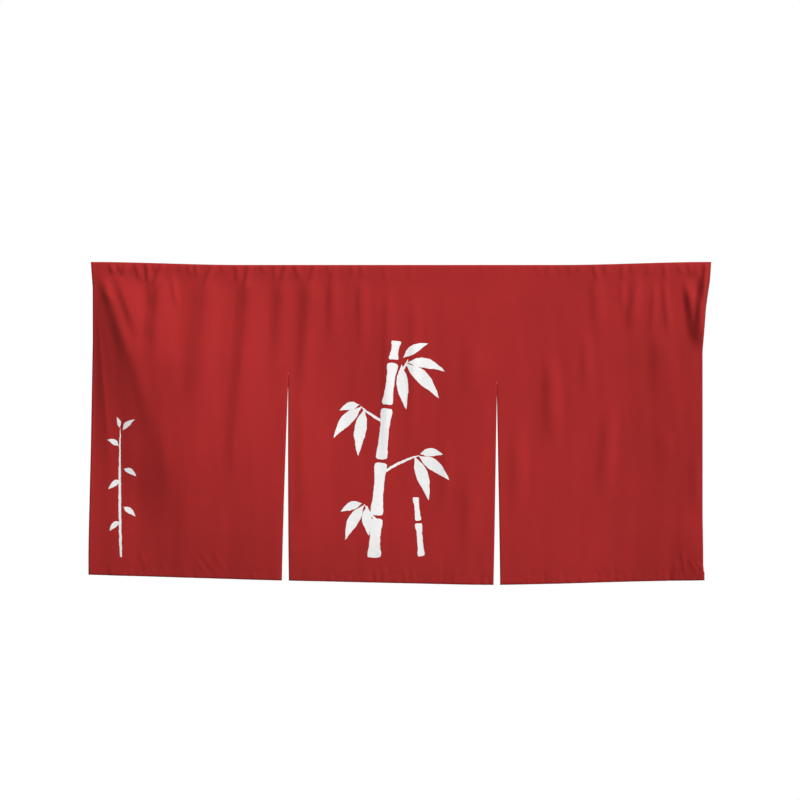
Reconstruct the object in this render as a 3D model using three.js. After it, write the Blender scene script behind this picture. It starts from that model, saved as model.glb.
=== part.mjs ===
// Noren: a split door curtain of dyed plain-weave cloth, hung by a rod pocket along its top.
// Millimetres. X runs to the right across the curtain, Z is up and the printed front faces -Y.
// The origin is the middle of the top edge, on the plane that the cloth hangs in.

import * as THREE from "three";

// Cloth and pocket
const CLOTH_THICKNESS = 1.5;
const POCKET_DROP = 50; // from the top edge to the pocket's stitch line
const POCKET_WALL = 1.4;
const POCKET_FRONT_BULGE = 3;
const POCKET_BACK_BULGE = 26;
const POCKET_SEAM_GAP = 0.3; // between the pocket and the cloth that hangs from it
const POCKET_FULL_SHARE = 0.86; // how far down the drop each wall keeps its bulge
const BEZIER_PEAK = 0.75; // how much of its handles' reach a curve of two equal handles gets to
const POCKET_MIDDLE_SHARE = 0.45; // the height, in the drop, that the inner wall shrinks towards
const LONGEST_INSET_SHARE = 0.16; // of the drop, at the sharp fold along the top edge
const FLATTEST_FACING = 0.1;

// The hung outline
const HALF_WIDTH = 821.5;
const CORNER_LIFT = 8; // how far the two top corners stand above the middle of the top edge
const CORNER_LIFT_START = 420; // from the middle, where the top edge starts to rise
const HEM_LOW_X = 250; // where the bottom hem hangs lowest
const HEM_LOW_Z = -848;
const HEM_RISE_LEFT = 26.5; // the hem's rise from its lowest point to each lower corner
const HEM_RISE_RIGHT = 16;
const HEM_CURVE = 1.3;

// How far each side edge stands from the middle, a row for each height where it bends
const LEFT_SIDE = [
  { z: 8, x: -821.5 },
  { z: -60, x: -816.5 },
  { z: -200, x: -816.5 },
  { z: -480, x: -821.5 },
  { z: -822, x: -829.5 },
];
const RIGHT_SIDE = [
  { z: 8, x: 821.5 },
  { z: -40, x: 818.5 },
  { z: -110, x: 808 },
  { z: -180, x: 799 },
  { z: -230, x: 796 },
  { z: -790, x: 796 },
  { z: -832, x: 800 },
];

// The two slits: where each one ends above, and how far its sides part at the hem
const SLITS = [
  { x: -298, top: -281, partLeft: 18.7, partRight: 0.8 },
  { x: 254, top: -305, partLeft: 9, partRight: 9.7 },
];

// Folds, a row for each: the line of its crest from its upper to its lower end, how far that
// line bows sideways, the width of its left and right flanks above and below, how far it
// stands forward, the length over which it grows and dies out, and how crisp it is (0 round,
// 1 with nearly flat flanks). A row that leaves out bow has a straight line, and one that
// leaves out crisp is as crisp as most are.
const FOLDS = [
  // drawn down from the upper left corner
  {
    from: [-806, 0], to: [-485, -900], bow: 10, left: [24, 290], right: [240, 800],
    out: 34, ease: [280, 450], crisp: 0.8,
  },
  { from: [-806, 4], to: [-724, -230], left: [28, 36], right: [20, 30], out: 5, ease: [30, 120] },
  {
    from: [-806, -100], to: [-755, -640], left: [12, 68], right: [50, 110],
    out: 8, ease: [250, 250], crisp: 0.6,
  },
  {
    from: [-757, -15], to: [-695, -200], left: [20, 20], right: [30, 34],
    out: 6.2, ease: [30, 80], crisp: 0.4,
  },
  // hanging from the gathers of the left half
  {
    from: [-634, -12], to: [-650, -300], left: [44, 30], right: [62, 60],
    out: 12, ease: [40, 180], crisp: 0.6,
  },
  { from: [-511, -15], to: [-530, -420], left: [44, 70], right: [62, 60], out: 8, ease: [50, 160] },
  {
    from: [-398, -15], to: [-458, -700], bow: 4, left: [44, 34], right: [54, 110],
    out: 9, ease: [50, 400],
  },
  { from: [-309, -15], to: [-336, -340], left: [36, 36], right: [34, 50], out: 6, ease: [50, 200] },
  { from: [-238, -15], to: [-262, -400], left: [34, 30], right: [40, 45], out: 7, ease: [50, 180] },
  { from: [-180, -15], to: [-184, -230], left: [22, 22], right: [34, 34], out: 5, ease: [50, 130] },
  {
    from: [-103, -20], to: [-104, -260], left: [22, 22], right: [30, 30],
    out: 4, ease: [50, 130], crisp: 0.5,
  },
  // soft folds of the middle panel
  { from: [-257, -330], to: [-262, -740], left: [30, 30], right: [100, 100], out: 4, ease: [100, 150] },
  {
    from: [-35, -50], to: [-42, -620], left: [20, 22], right: [26, 30],
    out: 2.6, ease: [80, 250], crisp: 0.4,
  },
  {
    from: [40, -60], to: [26, -520], left: [24, 20], right: [26, 26],
    out: 2.4, ease: [80, 250], crisp: 0.4,
  },
  {
    from: [190, -150], to: [186, -380], left: [36, 45], right: [36, 40],
    out: 3.6, ease: [110, 110], crisp: 0.3,
  },
  {
    from: [184, -540], to: [180, -780], left: [26, 34], right: [34, 40],
    out: 3.6, ease: [110, 110], crisp: 0.3,
  },
  // the right panel
  {
    from: [313, -380], to: [310, -700], left: [36, 45], right: [36, 40],
    out: 5.2, ease: [150, 150], crisp: 0.3,
  },
  {
    from: [396, -220], to: [400, -500], left: [30, 40], right: [32, 44],
    out: 6.8, ease: [100, 130], crisp: 0.3,
  },
  {
    from: [490, -165], to: [490, -350], left: [18, 24], right: [26, 34],
    out: 3, ease: [80, 90], crisp: 0.3,
  },
  {
    from: [560, -360], to: [532, -640], left: [36, 32], right: [30, 36],
    out: 5.6, ease: [110, 130], crisp: 0.3,
  },
  {
    from: [512, -5], to: [524, -200], left: [16, 28], right: [34, 34],
    out: 4, ease: [40, 120], crisp: 0.3,
  },
  {
    from: [627, -2], to: [606, -185], bow: 4, left: [16, 24], right: [22, 22],
    out: 7, ease: [30, 60], crisp: 0.5,
  },
  {
    from: [686, -160], to: [684, -400], left: [34, 44], right: [50, 60],
    out: 6, ease: [80, 180], crisp: 0.4,
  },
  // the two that meet in a V below the upper right corner
  {
    from: [758, -20], to: [798, -240], left: [14, 34], right: [12, 44],
    out: 12, ease: [80, 70], crisp: 0.4,
  },
  {
    from: [815, 10], to: [792, -250], bow: -3, left: [16, 26], right: [18, 14],
    out: 15, ease: [30, 120], crisp: 0.5,
  },
];
// How much of a flank's width bends at its crest and at its foot: the same on both ends of a
// round fold, less on a crisp one, whose flank is nearly flat between them
const ROUND_BEND = 0.5;
const CRISP_CREST_BEND = 0.14;
const CRISP_FOOT_BEND = 0.3;
const USUAL_CRISPNESS = 0.7;
const FOLD_FULL = 90; // below the top edge, where the folds stand at their full reach
const BACK_FOLD_START = 37; // below the top edge, where the pocket's back starts to follow them

// Broad waves of the whole cloth: wavelength across, forward reach, phase and drift down the drop
const WAVES = [
  { length: 597, reach: 3, phase: 0.6, drift: 0.0016 },
  { length: 258, reach: 1.2, phase: 1.9, drift: -0.0021 },
];
const WAVE_START = 40; // below the top edge, where the waves begin
const WAVE_FULL = 400;

// Where the right edge and its lower corner stand forward: the start, and the width over which
// the cloth comes forward, across and downwards
const RISES = [
  { x: 600, overX: 260, z: -80, overZ: 150, out: 18 },
  { x: 712, overX: 84, z: -640, overZ: 150, out: 12 },
];

// The foot of the cloth swings back, more at its left side than at its right one
const SWING_START = -700;
const SWING_LEFT = 14;
const SWING_RIGHT = 3;

// The pocket's pinched gathers
const GATHER_PITCH = 66;
const GATHER_DEPTH = 1.6;
const GATHER_DRIFT = 0.9; // how unevenly the gathers are spaced, in radians
const GATHER_DRIFT_LENGTH = 97;

// Mesh steps
const PANEL_COLUMNS = [32, 34, 33];
const ROWS_TO_FIRST_SLIT = 6;
const ROWS_BETWEEN_SLIT_TOPS = 1;
const ROWS_BELOW = 13;
const POCKET_COLUMNS = 100;
const POCKET_WALL_STEPS = 6;

const smooth = (t) => THREE.MathUtils.smoothstep(t, 0, 1);

function topEdge(x) {
  return CORNER_LIFT * smooth((Math.abs(x) - CORNER_LIFT_START) / (HALF_WIDTH - CORNER_LIFT_START));
}

function hemEdge(x) {
  const left = x < HEM_LOW_X;
  const reach = left ? HEM_LOW_X + HALF_WIDTH : HALF_WIDTH - HEM_LOW_X;
  const rise = left ? HEM_RISE_LEFT : HEM_RISE_RIGHT;
  return HEM_LOW_Z + rise * Math.pow(Math.abs(x - HEM_LOW_X) / reach, HEM_CURVE);
}

// The place of a side edge at height z, between the rows of its table.
function sideEdge(rows, z) {
  let i = 0;
  while (i < rows.length - 2 && z < rows[i + 1].z) {
    i += 1;
  }
  const share = THREE.MathUtils.clamp((rows[i].z - z) / (rows[i].z - rows[i + 1].z), 0, 1);
  return THREE.MathUtils.lerp(rows[i].x, rows[i + 1].x, share);
}

// The height of a fold's flank at share r of its width: 1 at the crest and 0 at the foot.
function flankHeight(r, crisp) {
  const crestBend = THREE.MathUtils.lerp(ROUND_BEND, CRISP_CREST_BEND, crisp);
  const footBend = THREE.MathUtils.lerp(ROUND_BEND, CRISP_FOOT_BEND, crisp);
  const eased = (t, bend) => {
    return THREE.MathUtils.clamp(t, 0, bend) ** 2 / (2 * bend) + Math.max(t - bend, 0);
  };
  const fallen = eased(r, crestBend) - eased(r - (1 - footBend), footBend);
  return 1 - fallen / (1 - (crestBend + footBend) / 2);
}

// How far one fold pushes the cloth forward at a point.
function foldForward(fold, x, z) {
  const { from: [x0, z0], to: [x1, z1], bow = 0, crisp = USUAL_CRISPNESS } = fold;
  const length = z0 - z1;
  const along = (z0 - z) / length;
  if (along <= 0 || along >= 1) {
    return 0;
  }
  const line = x0 + (x1 - x0) * along + 4 * bow * along * (1 - along);
  const lean = (x1 - x0) / length;
  const across = (x - line) / Math.sqrt(1 + lean * lean);
  const flank = across < 0 ? fold.left : fold.right;
  const r = Math.abs(across) / THREE.MathUtils.lerp(flank[0], flank[1], along);
  if (r >= 1) {
    return 0;
  }
  const grown = smooth((along * length) / fold.ease[0]) * smooth(((1 - along) * length) / fold.ease[1]);
  return fold.out * grown * flankHeight(r, crisp);
}

function wavesForward(x, z) {
  const below = smooth((-z - WAVE_START) / WAVE_FULL);
  return WAVES.reduce((sum, wave) => {
    const turn = (2 * Math.PI * x) / wave.length + wave.phase + wave.drift * z;
    return sum + wave.reach * below * Math.sin(turn);
  }, 0);
}

function risesForward(x, z) {
  return RISES.reduce((sum, rise) => {
    return sum + rise.out * smooth((x - rise.x) / rise.overX) * smooth((rise.z - z) / rise.overZ);
  }, 0);
}

function swingBack(x, z) {
  const below = Math.max(0, (SWING_START - z) / (SWING_START - HEM_LOW_Z));
  const rightShare = smooth((x + HALF_WIDTH) / (2 * HALF_WIDTH));
  return THREE.MathUtils.lerp(SWING_LEFT, SWING_RIGHT, rightShare) * below * below;
}

// How far the hanging cloth stands in front of its plane at a point.
function clothForward(x, z) {
  const folds = FOLDS.reduce((sum, fold) => sum + foldForward(fold, x, z), 0);
  return (folds + wavesForward(x, z) + risesForward(x, z) - swingBack(x, z)) * smooth(-z / FOLD_FULL);
}

// How far the pocket's back stands in front of its plane: it only follows the cloth over its
// last stretch, where it is sewn down.
function backForward(x, below) {
  const sewn = clothForward(x, topEdge(x) - POCKET_DROP);
  return sewn * smooth((below - BACK_FOLD_START) / (POCKET_DROP - BACK_FOLD_START));
}

function gatherForward(x, below) {
  const turn = (2 * Math.PI * x) / GATHER_PITCH + GATHER_DRIFT * Math.sin(x / GATHER_DRIFT_LENGTH);
  return GATHER_DEPTH * Math.sin(turn) * Math.sin((Math.PI * below) / POCKET_DROP);
}

// A closed mesh from points and outward triangles.
function solid(name, points, triangles, material) {
  const geometry = new THREE.BufferGeometry();
  geometry.setAttribute("position", new THREE.Float32BufferAttribute(points.flat(), 3));
  geometry.setIndex(triangles.flat());
  geometry.computeVertexNormals();
  const mesh = new THREE.Mesh(geometry, material);
  mesh.name = name;
  return mesh;
}

// Half the cloth's thickness measured along Y, so that it stays even on a slope.
function halfAlongY(x, z) {
  const step = 2;
  const slopeX = (clothForward(x + step, z) - clothForward(x - step, z)) / (2 * step);
  const slopeZ = (clothForward(x, z + step) - clothForward(x, z - step)) / (2 * step);
  return (CLOTH_THICKNESS / 2) * Math.sqrt(1 + slopeX * slopeX + slopeZ * slopeZ);
}

// Shares of the drop at which the cloth's rows lie, with one row through each slit's upper end.
function rowShares() {
  const shareOf = (slit) => {
    const top = clothTop(slit.x);
    return (top - slit.top) / (top - hemEdge(slit.x));
  };
  const stops = [0, shareOf(SLITS[0]), shareOf(SLITS[1]), 1];
  const counts = [ROWS_TO_FIRST_SLIT, ROWS_BETWEEN_SLIT_TOPS, ROWS_BELOW];
  const shares = [0];
  counts.forEach((count, part) => {
    for (let i = 1; i <= count; i += 1) {
      shares.push(THREE.MathUtils.lerp(stops[part], stops[part + 1], i / count));
    }
  });
  return shares;
}

function clothTop(x) {
  return topEdge(x) - POCKET_DROP - POCKET_SEAM_GAP;
}

// The left or right border of a panel at a height: a side of the cloth or of a slit.
function border(index, z, side) {
  if (index === 0) {
    return sideEdge(LEFT_SIDE, z);
  }
  if (index === PANEL_COLUMNS.length) {
    return sideEdge(RIGHT_SIDE, z);
  }
  const slit = SLITS[index - 1];
  const open = Math.max(0, (slit.top - z) / (slit.top - hemEdge(slit.x)));
  return side === "left" ? slit.x - slit.partLeft * open : slit.x + slit.partRight * open;
}

function makeCloth(material) {
  const shares = rowShares();
  const slitRows = [ROWS_TO_FIRST_SLIT, ROWS_TO_FIRST_SLIT + ROWS_BETWEEN_SLIT_TOPS];
  const lastRow = shares.length - 1;
  const front = [];
  const back = [];
  const known = new Map();

  // The number of the point at a row and column of a panel. Above a slit's end, the first
  // column of a panel is the last one of the panel before it.
  function pointAt(panel, column, row) {
    if (column === 0 && panel > 0 && row <= slitRows[panel - 1]) {
      return pointAt(panel - 1, PANEL_COLUMNS[panel - 1], row);
    }
    const key = `${panel} ${column} ${row}`;
    if (!known.has(key)) {
      const share = column / PANEL_COLUMNS[panel];
      const guess = THREE.MathUtils.lerp(border(panel, 0, "right"), border(panel + 1, 0, "left"), share);
      const z = THREE.MathUtils.lerp(clothTop(guess), hemEdge(guess), shares[row]);
      const x = THREE.MathUtils.lerp(border(panel, z, "right"), border(panel + 1, z, "left"), share);
      const y = -clothForward(x, z);
      const half = halfAlongY(x, z);
      known.set(key, front.length);
      front.push([x, y - half, z]);
      back.push([x, y + half, z]);
    }
    return known.get(key);
  }

  const quads = [];
  PANEL_COLUMNS.forEach((columns, panel) => {
    for (let row = 0; row < lastRow; row += 1) {
      for (let column = 0; column < columns; column += 1) {
        const upperLeft = pointAt(panel, column, row);
        const upperRight = pointAt(panel, column + 1, row);
        const lowerRight = pointAt(panel, column + 1, row + 1);
        const lowerLeft = pointAt(panel, column, row + 1);
        quads.push([upperLeft, lowerLeft, lowerRight, upperRight]);
      }
    }
  });

  // An edge that only one quad has lies on the cloth's border and gets a side wall.
  const seen = new Set();
  quads.forEach((quad) => quad.forEach((a, i) => seen.add(`${a} ${quad[(i + 1) % 4]}`)));
  const count = front.length;
  const triangles = [];
  quads.forEach((quad) => {
    const [a, b, c, d] = quad;
    triangles.push([a, b, c], [a, c, d]);
    triangles.push([a + count, c + count, b + count], [a + count, d + count, c + count]);
    quad.forEach((p, i) => {
      const q = quad[(i + 1) % 4];
      if (!seen.has(`${q} ${p}`)) {
        triangles.push([p, p + count, q + count], [p, q + count, q]);
      }
    });
  });
  return solid("cloth", front.concat(back), triangles, material);
}

// The pocket's outer section as [y, below the top edge], round the loop from the stitch line
// up the front wall, over the top edge and down the back wall.
function pocketSection() {
  const wall = (bulge) => {
    const reach = bulge / BEZIER_PEAK;
    return new THREE.CubicBezierCurve(
      new THREE.Vector2(0, 0),
      new THREE.Vector2(reach, 0),
      new THREE.Vector2(reach, POCKET_DROP * POCKET_FULL_SHARE),
      new THREE.Vector2(0, POCKET_DROP),
    ).getPoints(POCKET_WALL_STEPS);
  };
  const frontWall = wall(-POCKET_FRONT_BULGE).reverse();
  const backWall = wall(POCKET_BACK_BULGE);
  return frontWall.concat(backWall.slice(1, -1));
}

// The inner section: each outer point moved towards the middle until the wall has its thickness.
function insetSection(outer) {
  const middleY = (POCKET_BACK_BULGE - POCKET_FRONT_BULGE) / 2;
  const middle = new THREE.Vector2(middleY, POCKET_DROP * POCKET_MIDDLE_SHARE);
  const longest = POCKET_DROP * LONGEST_INSET_SHARE;
  return outer.map((point, i) => {
    const before = outer[(i + outer.length - 1) % outer.length];
    const after = outer[(i + 1) % outer.length];
    const along = after.clone().sub(before).normalize();
    const inward = new THREE.Vector2(-along.y, along.x);
    const towards = middle.clone().sub(point).normalize();
    const facing = Math.max(Math.abs(towards.dot(inward)), FLATTEST_FACING);
    return point.clone().addScaledVector(towards, Math.min(POCKET_WALL / facing, longest));
  });
}

function makePocket(material) {
  const outer = pocketSection();
  const inner = insetSection(outer);
  const loop = outer.length;
  const ring = 2 * loop;
  const points = [];
  for (let column = 0; column <= POCKET_COLUMNS; column += 1) {
    const share = column / POCKET_COLUMNS;
    for (const section of [outer, inner]) {
      for (const point of section) {
        const level = topEdge(THREE.MathUtils.lerp(-HALF_WIDTH, HALF_WIDTH, share)) - point.y;
        const x = THREE.MathUtils.lerp(sideEdge(LEFT_SIDE, level), sideEdge(RIGHT_SIDE, level), share);
        const onFront = point.x < POCKET_BACK_BULGE / 2;
        const forward = onFront
          ? clothForward(x, level) + gatherForward(x, point.y)
          : backForward(x, point.y);
        points.push([x, point.x - forward, level]);
      }
    }
  }
  const triangles = [];
  const quad = (a, b, c, d) => triangles.push([a, b, c], [a, c, d]);
  for (let i = 0; i < loop; i += 1) {
    const next = (i + 1) % loop;
    for (let column = 0; column < POCKET_COLUMNS; column += 1) {
      const here = column * ring;
      const there = here + ring;
      quad(here + i, there + i, there + next, here + next);
      quad(here + loop + i, here + loop + next, there + loop + next, there + loop + i);
    }
    const last = POCKET_COLUMNS * ring;
    quad(i, next, loop + next, loop + i);
    quad(last + i, last + loop + i, last + loop + next, last + next);
  }
  return solid("rod_pocket", points, triangles, material);
}

const dyedCloth = new THREE.MeshStandardMaterial({ color: 0xa02929, roughness: 0.85, metalness: 0 });
const pocketCloth = new THREE.MeshStandardMaterial({ color: 0x982727, roughness: 0.85, metalness: 0 });

const noren = new THREE.Group();
noren.name = "noren";
noren.add(makeCloth(dyedCloth), makePocket(pocketCloth));

export default noren;
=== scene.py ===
"""Noren: a split door curtain of dyed plain-weave cloth, hung by a rod pocket along its top."""
import math
import random
from collections import namedtuple

import bpy
import numpy as np
from bpy.props import (
    FloatProperty, FloatVectorProperty, IntProperty, PointerProperty,
)
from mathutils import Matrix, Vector


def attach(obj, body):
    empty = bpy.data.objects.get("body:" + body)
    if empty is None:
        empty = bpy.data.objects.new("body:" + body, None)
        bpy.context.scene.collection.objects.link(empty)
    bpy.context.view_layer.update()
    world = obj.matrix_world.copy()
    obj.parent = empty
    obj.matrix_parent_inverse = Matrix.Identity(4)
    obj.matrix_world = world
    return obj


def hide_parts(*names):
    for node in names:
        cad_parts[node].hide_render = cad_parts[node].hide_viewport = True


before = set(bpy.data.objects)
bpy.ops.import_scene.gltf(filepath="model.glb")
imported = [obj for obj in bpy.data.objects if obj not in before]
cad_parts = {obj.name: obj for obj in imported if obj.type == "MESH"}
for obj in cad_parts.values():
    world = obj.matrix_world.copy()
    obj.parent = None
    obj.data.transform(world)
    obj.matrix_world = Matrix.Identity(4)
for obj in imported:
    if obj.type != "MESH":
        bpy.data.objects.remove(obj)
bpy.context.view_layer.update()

bl_info = {
    "name": "Noren curtain",
    "version": (1, 0, 0),
    "blender": (4, 5, 0),
    "location": "View3D > Sidebar > Noren",
    "description": "Builds a split door curtain with hems, sewing and a brushed decoration",
    "category": "Object",
}

# The hung outline, in metres, as the frame has it
HALF_WIDTH = 0.8215
POCKET_DROP = 0.050
POCKET_FRONT_BULGE = 0.0007
POCKET_BACK_BULGE = 0.0253
CORNER_LIFT = 0.008
CORNER_LIFT_START = 0.420
HEM_LOW_X = 0.250
HEM_LOW_Z = -0.848
HEM_RISE_LEFT = 0.0265
HEM_RISE_RIGHT = 0.016
HEM_CURVE = 1.3

# Where each side edge stands, at the heights where it bends
SideEdge = namedtuple("SideEdge", "heights places")
LEFT_SIDE = SideEdge(
    heights=(0.008, -0.060, -0.200, -0.480, -0.822),
    places=(-0.8215, -0.8165, -0.8165, -0.8215, -0.8295),
)
RIGHT_SIDE = SideEdge(
    heights=(0.008, -0.040, -0.110, -0.180, -0.230, -0.790, -0.832),
    places=(0.8215, 0.8185, 0.808, 0.799, 0.796, 0.796, 0.800),
)

# The two slits: where each one ends above, and how far its sides part at the hem
Slit = namedtuple("Slit", "x top part_left part_right")
SLITS = (
    Slit(x=-0.298, top=-0.281, part_left=0.0187, part_right=0.0008),
    Slit(x=0.254, top=-0.305, part_left=0.009, part_right=0.0097),
)

# Folds, a row for each: upper and lower end of the crest, its sideways bow, the width of the
# left and right flanks above and below, the reach forward, the lengths over which the fold
# grows and dies out, and how crisp it is: 0 is round and 1 has nearly flat flanks.
Fold = namedtuple(
    "Fold",
    "top_x top_z foot_x foot_z bow left_top left_foot right_top right_foot out grow die crisp",
    defaults=(0.7,))
MAIN_FOLDS = (
    # drawn down from the upper left corner
    Fold(-.803, .000, -.485, -.900, .019, .034, .300, .420, .800, .036, .280, .450, 0.8),
    Fold(-.803, .004, -.694, -.300, .005, .030, .044, .046, .090, .0066, .030, .140),
    Fold(-.806, -.100, -.755, -.640, 0, .012, .066, .080, .160, .0085, .250, .180, 0.6),
    Fold(-.805, -.110, -.765, -.560, 0, .008, .010, .008, .014, .0008, .080, .160, 0.4),
    Fold(-.753, -.015, -.682, -.205, 0, .026, .028, .056, .070, .0090, .030, .080, 0.4),
    # hanging from the gathers of the left half
    Fold(-.634, -.012, -.650, -.300, 0, .050, .040, .062, .060, .0130, .040, .180, 0.8),
    Fold(-.511, -.015, -.530, -.420, 0, .044, .070, .062, .060, .008, .050, .160),
    Fold(-.398, -.015, -.458, -.700, .004, .044, .034, .054, .110, .009, .050, .400),
    Fold(-.309, -.015, -.336, -.340, 0, .036, .036, .034, .050, .006, .050, .200),
    Fold(-.238, -.015, -.262, -.400, 0, .034, .030, .040, .045, .007, .050, .180),
    Fold(-.180, -.015, -.184, -.230, 0, .022, .022, .034, .034, .005, .050, .130),
    Fold(-.103, -.020, -.104, -.260, 0, .022, .022, .030, .030, .004, .050, .130, 0.5),
    # beside the lower left edge
    Fold(-.772, -.500, -.735, -.880, 0, .045, .100, .060, .130, .0052, .120, .060, 0.5),
    # soft folds of the middle panel
    Fold(-.257, -.330, -.262, -.740, 0, .030, .030, .100, .100, .004, .100, .150),
    Fold(-.035, -.050, -.042, -.620, 0, .020, .022, .026, .030, .0026, .080, .250, 0.4),
    Fold(.040, -.060, .026, -.520, 0, .024, .020, .026, .026, .0024, .080, .250, 0.4),
    Fold(.190, -.150, .186, -.380, 0, .036, .045, .036, .040, .0036, .110, .110, 0.3),
    Fold(.184, -.540, .180, -.780, 0, .026, .034, .034, .040, .0036, .110, .110, 0.3),
    # the right panel
    Fold(.313, -.380, .310, -.700, 0, .036, .045, .036, .040, .0052, .150, .150, 0.3),
    Fold(.396, -.220, .400, -.500, 0, .030, .040, .032, .044, .0068, .100, .130, 0.3),
    Fold(.490, -.165, .490, -.350, 0, .018, .024, .026, .034, .003, .080, .090, 0.3),
    Fold(.560, -.360, .532, -.640, 0, .036, .032, .030, .036, .0056, .110, .130, 0.3),
    Fold(.512, -.005, .524, -.200, 0, .020, .030, .034, .034, .0038, .040, .120, 0.3),
    Fold(.584, -.002, .586, -.130, 0, .014, .014, .016, .016, .003, .020, .070, 0.3),
    Fold(.627, -.002, .606, -.185, .004, .020, .030, .022, .024, .0062, .030, .060, 0.3),
    Fold(.671, -.030, .661, -.205, .003, .014, .016, .014, .016, .0031, .050, .080, 0.2),
    Fold(.694, -.010, .711, -.200, 0, .012, .016, .016, .018, .0035, .040, .080, 0.2),
    Fold(.686, -.160, .684, -.400, 0, .034, .044, .050, .060, .006, .080, .180, 0.4),
    # the two that meet in a V below the upper right corner
    Fold(.753, -.020, .793, -.235, 0, .014, .036, .030, .060, .013, .080, .070, 0.4),
    Fold(.8125, .010, .791, -.225, -.0065, .022, .021, .018, .016, .021, .024, .120, 0.5),
)
# Lesser creases and dents between the main folds
SMALL_FOLDS = (
    Fold(-.610, -.002, -.590, -.126, 0, .012, .012, .012, .014, .0040, .020, .050, 0.4),
    Fold(.122, -.450, .118, -.650, 0, .018, .022, .030, .030, .0018, .090, .090, 0.3),
    Fold(.700, -.425, .706, -.530, 0, .045, .045, .026, .026, .002, .050, .050, 0.1),
    Fold(.781, -.480, .781, -.660, 0, .030, .030, .015, .015, .003, .080, .080, 0.2),
    Fold(-.788, -.030, -.765, -.120, 0, .020, .024, .016, .020, .0040, .022, .050, 0.6),
    # wrinkles above the left panel's hem
    Fold(-.698, -.740, -.674, -.815, 0, .008, .008, .008, .008, .0008, .030, .026, 0.1),
    Fold(-.672, -.780, -.655, -.822, 0, .006, .006, .006, .006, .0006, .018, .016, 0.1),
    Fold(-.640, -.775, -.622, -.824, 0, .006, .006, .006, .007, .0006, .018, .018, 0.1),
    Fold(-.556, -.762, -.512, -.826, 0, .006, .007, .007, .008, .0009, .024, .022, 0.1),
    Fold(-.533, -.755, -.486, -.828, 0, .006, .007, .007, .008, .0010, .024, .022, 0.1),
    Fold(-.503, -.748, -.456, -.828, 0, .006, .007, .007, .008, .0008, .024, .022, 0.1),
    # wrinkles above the middle panel's hem
    Fold(-.066, -.798, -.064, -.842, 0, .006, .007, .007, .008, .0011, .022, .012, 0.1),
    Fold(-.052, -.785, -.038, -.842, 0, .006, .007, .007, .008, .0010, .024, .012, 0.1),
    Fold(.008, -.796, .012, -.846, 0, .006, .008, .007, .008, .0013, .024, .012, 0.1),
    Fold(.028, -.790, .034, -.846, 0, .006, .007, .007, .008, .0012, .024, .012, 0.1),
    Fold(.100, -.780, .108, -.846, 0, .006, .007, .007, .008, .0011, .030, .012, 0.1),
    Fold(.146, -.788, .140, -.848, 0, .006, .007, .007, .008, .0009, .028, .012, 0.1),
    # wrinkles of the lower right corner
    Fold(.722, -.770, .728, -.822, 0, .007, .007, .007, .007, .0013, .022, .018, 0.1),
    Fold(.742, -.745, .750, -.822, 0, .006, .006, .006, .007, .0016, .028, .018, 0.1),
    Fold(.757, -.768, .784, -.822, 0, .005, .006, .006, .007, .0016, .018, .016, 0.1),
    Fold(.772, -.772, .797, -.812, 0, .005, .006, .006, .007, .0014, .016, .014, 0.1),
)

# The pinched gathers of the pocket: place at the top edge, how far each leans over its drop,
# the drop, and how deep it is pinched
Gather = namedtuple("Gather", "x lean drop depth")
GATHERS = (
    Gather(-.778, .008, .030, .0034), Gather(-.752, -.004, .022, .0024),
    Gather(-.734, -.016, .036, .0038), Gather(-.712, .016, .050, .0026),
    Gather(-.681, .004, .056, .0036), Gather(-.660, -.003, .022, .0014),
    Gather(-.638, -.030, .060, .0036), Gather(-.592, .002, .024, .0016),
    Gather(-.574, .010, .034, .0020), Gather(-.553, .006, .036, .0024),
    Gather(-.506, -.030, .070, .0034), Gather(-.483, .007, .028, .0014),
    Gather(-.445, .006, .056, .0026), Gather(-.409, -.018, .080, .0032),
    Gather(-.378, .008, .026, .0020), Gather(-.343, .002, .050, .0018),
    Gather(-.310, -.020, .056, .0030), Gather(-.291, .016, .046, .0024),
    Gather(-.234, -.020, .058, .0030), Gather(-.201, .003, .034, .0018),
    Gather(-.183, -.014, .064, .0022), Gather(-.140, .006, .036, .0016),
    Gather(-.110, -.005, .040, .0018), Gather(-.053, .003, .056, .0012),
    Gather(.016, .002, .050, .0010), Gather(.120, .006, .036, .0006),
    Gather(.210, -.004, .040, .0006), Gather(.300, .004, .036, .0008),
    Gather(.355, -.002, .034, .0012), Gather(.387, -.009, .040, .0022),
    Gather(.409, .003, .028, .0012), Gather(.439, .001, .034, .0018),
    Gather(.466, -.003, .026, .0012), Gather(.501, .014, .052, .0026),
    Gather(.538, -.008, .036, .0026), Gather(.580, -.001, .048, .0027),
    Gather(.603, .003, .030, .0019), Gather(.652, -.012, .034, .0025),
    Gather(.689, .004, .050, .0027), Gather(.726, .010, .030, .0023),
    Gather(.755, .004, .032, .0022), Gather(.774, -.004, .034, .0022),
    Gather(.800, -.010, .120, .0060),
)
GATHER_START = 0.006  # above the top edge's lowest point
GATHER_GROW = 0.010
GATHER_DIE_SHARE = 0.6  # of its drop
GATHER_CRISP = 0.3
GATHER_SPREAD = 1.2  # how many times as wide each one is at its foot
GATHER_SOFT_SIDE = 2.0  # the right side's width, as a multiple of the steep left one's

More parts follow.
